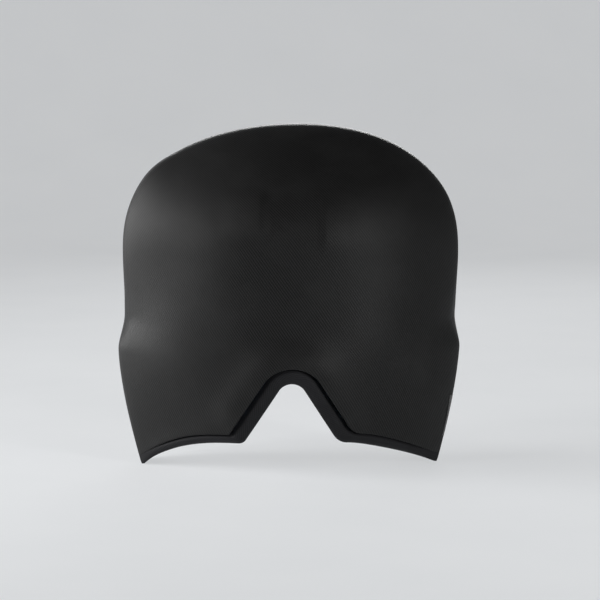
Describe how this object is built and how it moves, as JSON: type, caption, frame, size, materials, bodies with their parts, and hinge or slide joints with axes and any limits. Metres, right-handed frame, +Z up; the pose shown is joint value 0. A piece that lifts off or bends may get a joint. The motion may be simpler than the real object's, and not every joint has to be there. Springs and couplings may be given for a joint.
{
  "type": "gel eye and head cap",
  "caption": "Pull-on padded gel cap in black stretch knit that covers the head, forehead and eyes, with a nose arch in its bound hem.",
  "frame": {"origin": "under the middle of the cap's box, on the plane that the hem stands on", "axes": "+Z up from the hem to the crown, -Y the way the wearer faces, +X to the right of someone who faces the cap"},
  "size_m": [0.2408, 0.1333, 0.2395],
  "materials": {
    "black_knit": "matte",
    "black_lining": "matte",
    "hem_binding": "matte",
    "black_thread": "matte",
    "tag_tape": "satin",
    "gel": "satin",
    "film": "gloss"
  },
  "bodies": {
    "root": {"front_outer_panel": "black_knit", "back_outer_panel": "black_knit", "front_lining_panel": "black_lining", "back_lining_panel": "black_lining", "front_gel_core": "gel", "back_gel_core": "gel", "front_gel_film_outer": "film", "front_gel_film_inner": "film", "back_gel_film_outer": "film", "back_gel_film_inner": "film", "front_hem_binding": "hem_binding", "back_hem_binding": "hem_binding", "front_hem_overlock": "black_thread", "back_hem_overlock": "black_thread", "left_side_seam": "black_thread", "right_side_seam": "black_thread", "crown_seam": "black_thread", "side_tag": "tag_tape"}
  },
  "joints": []
}
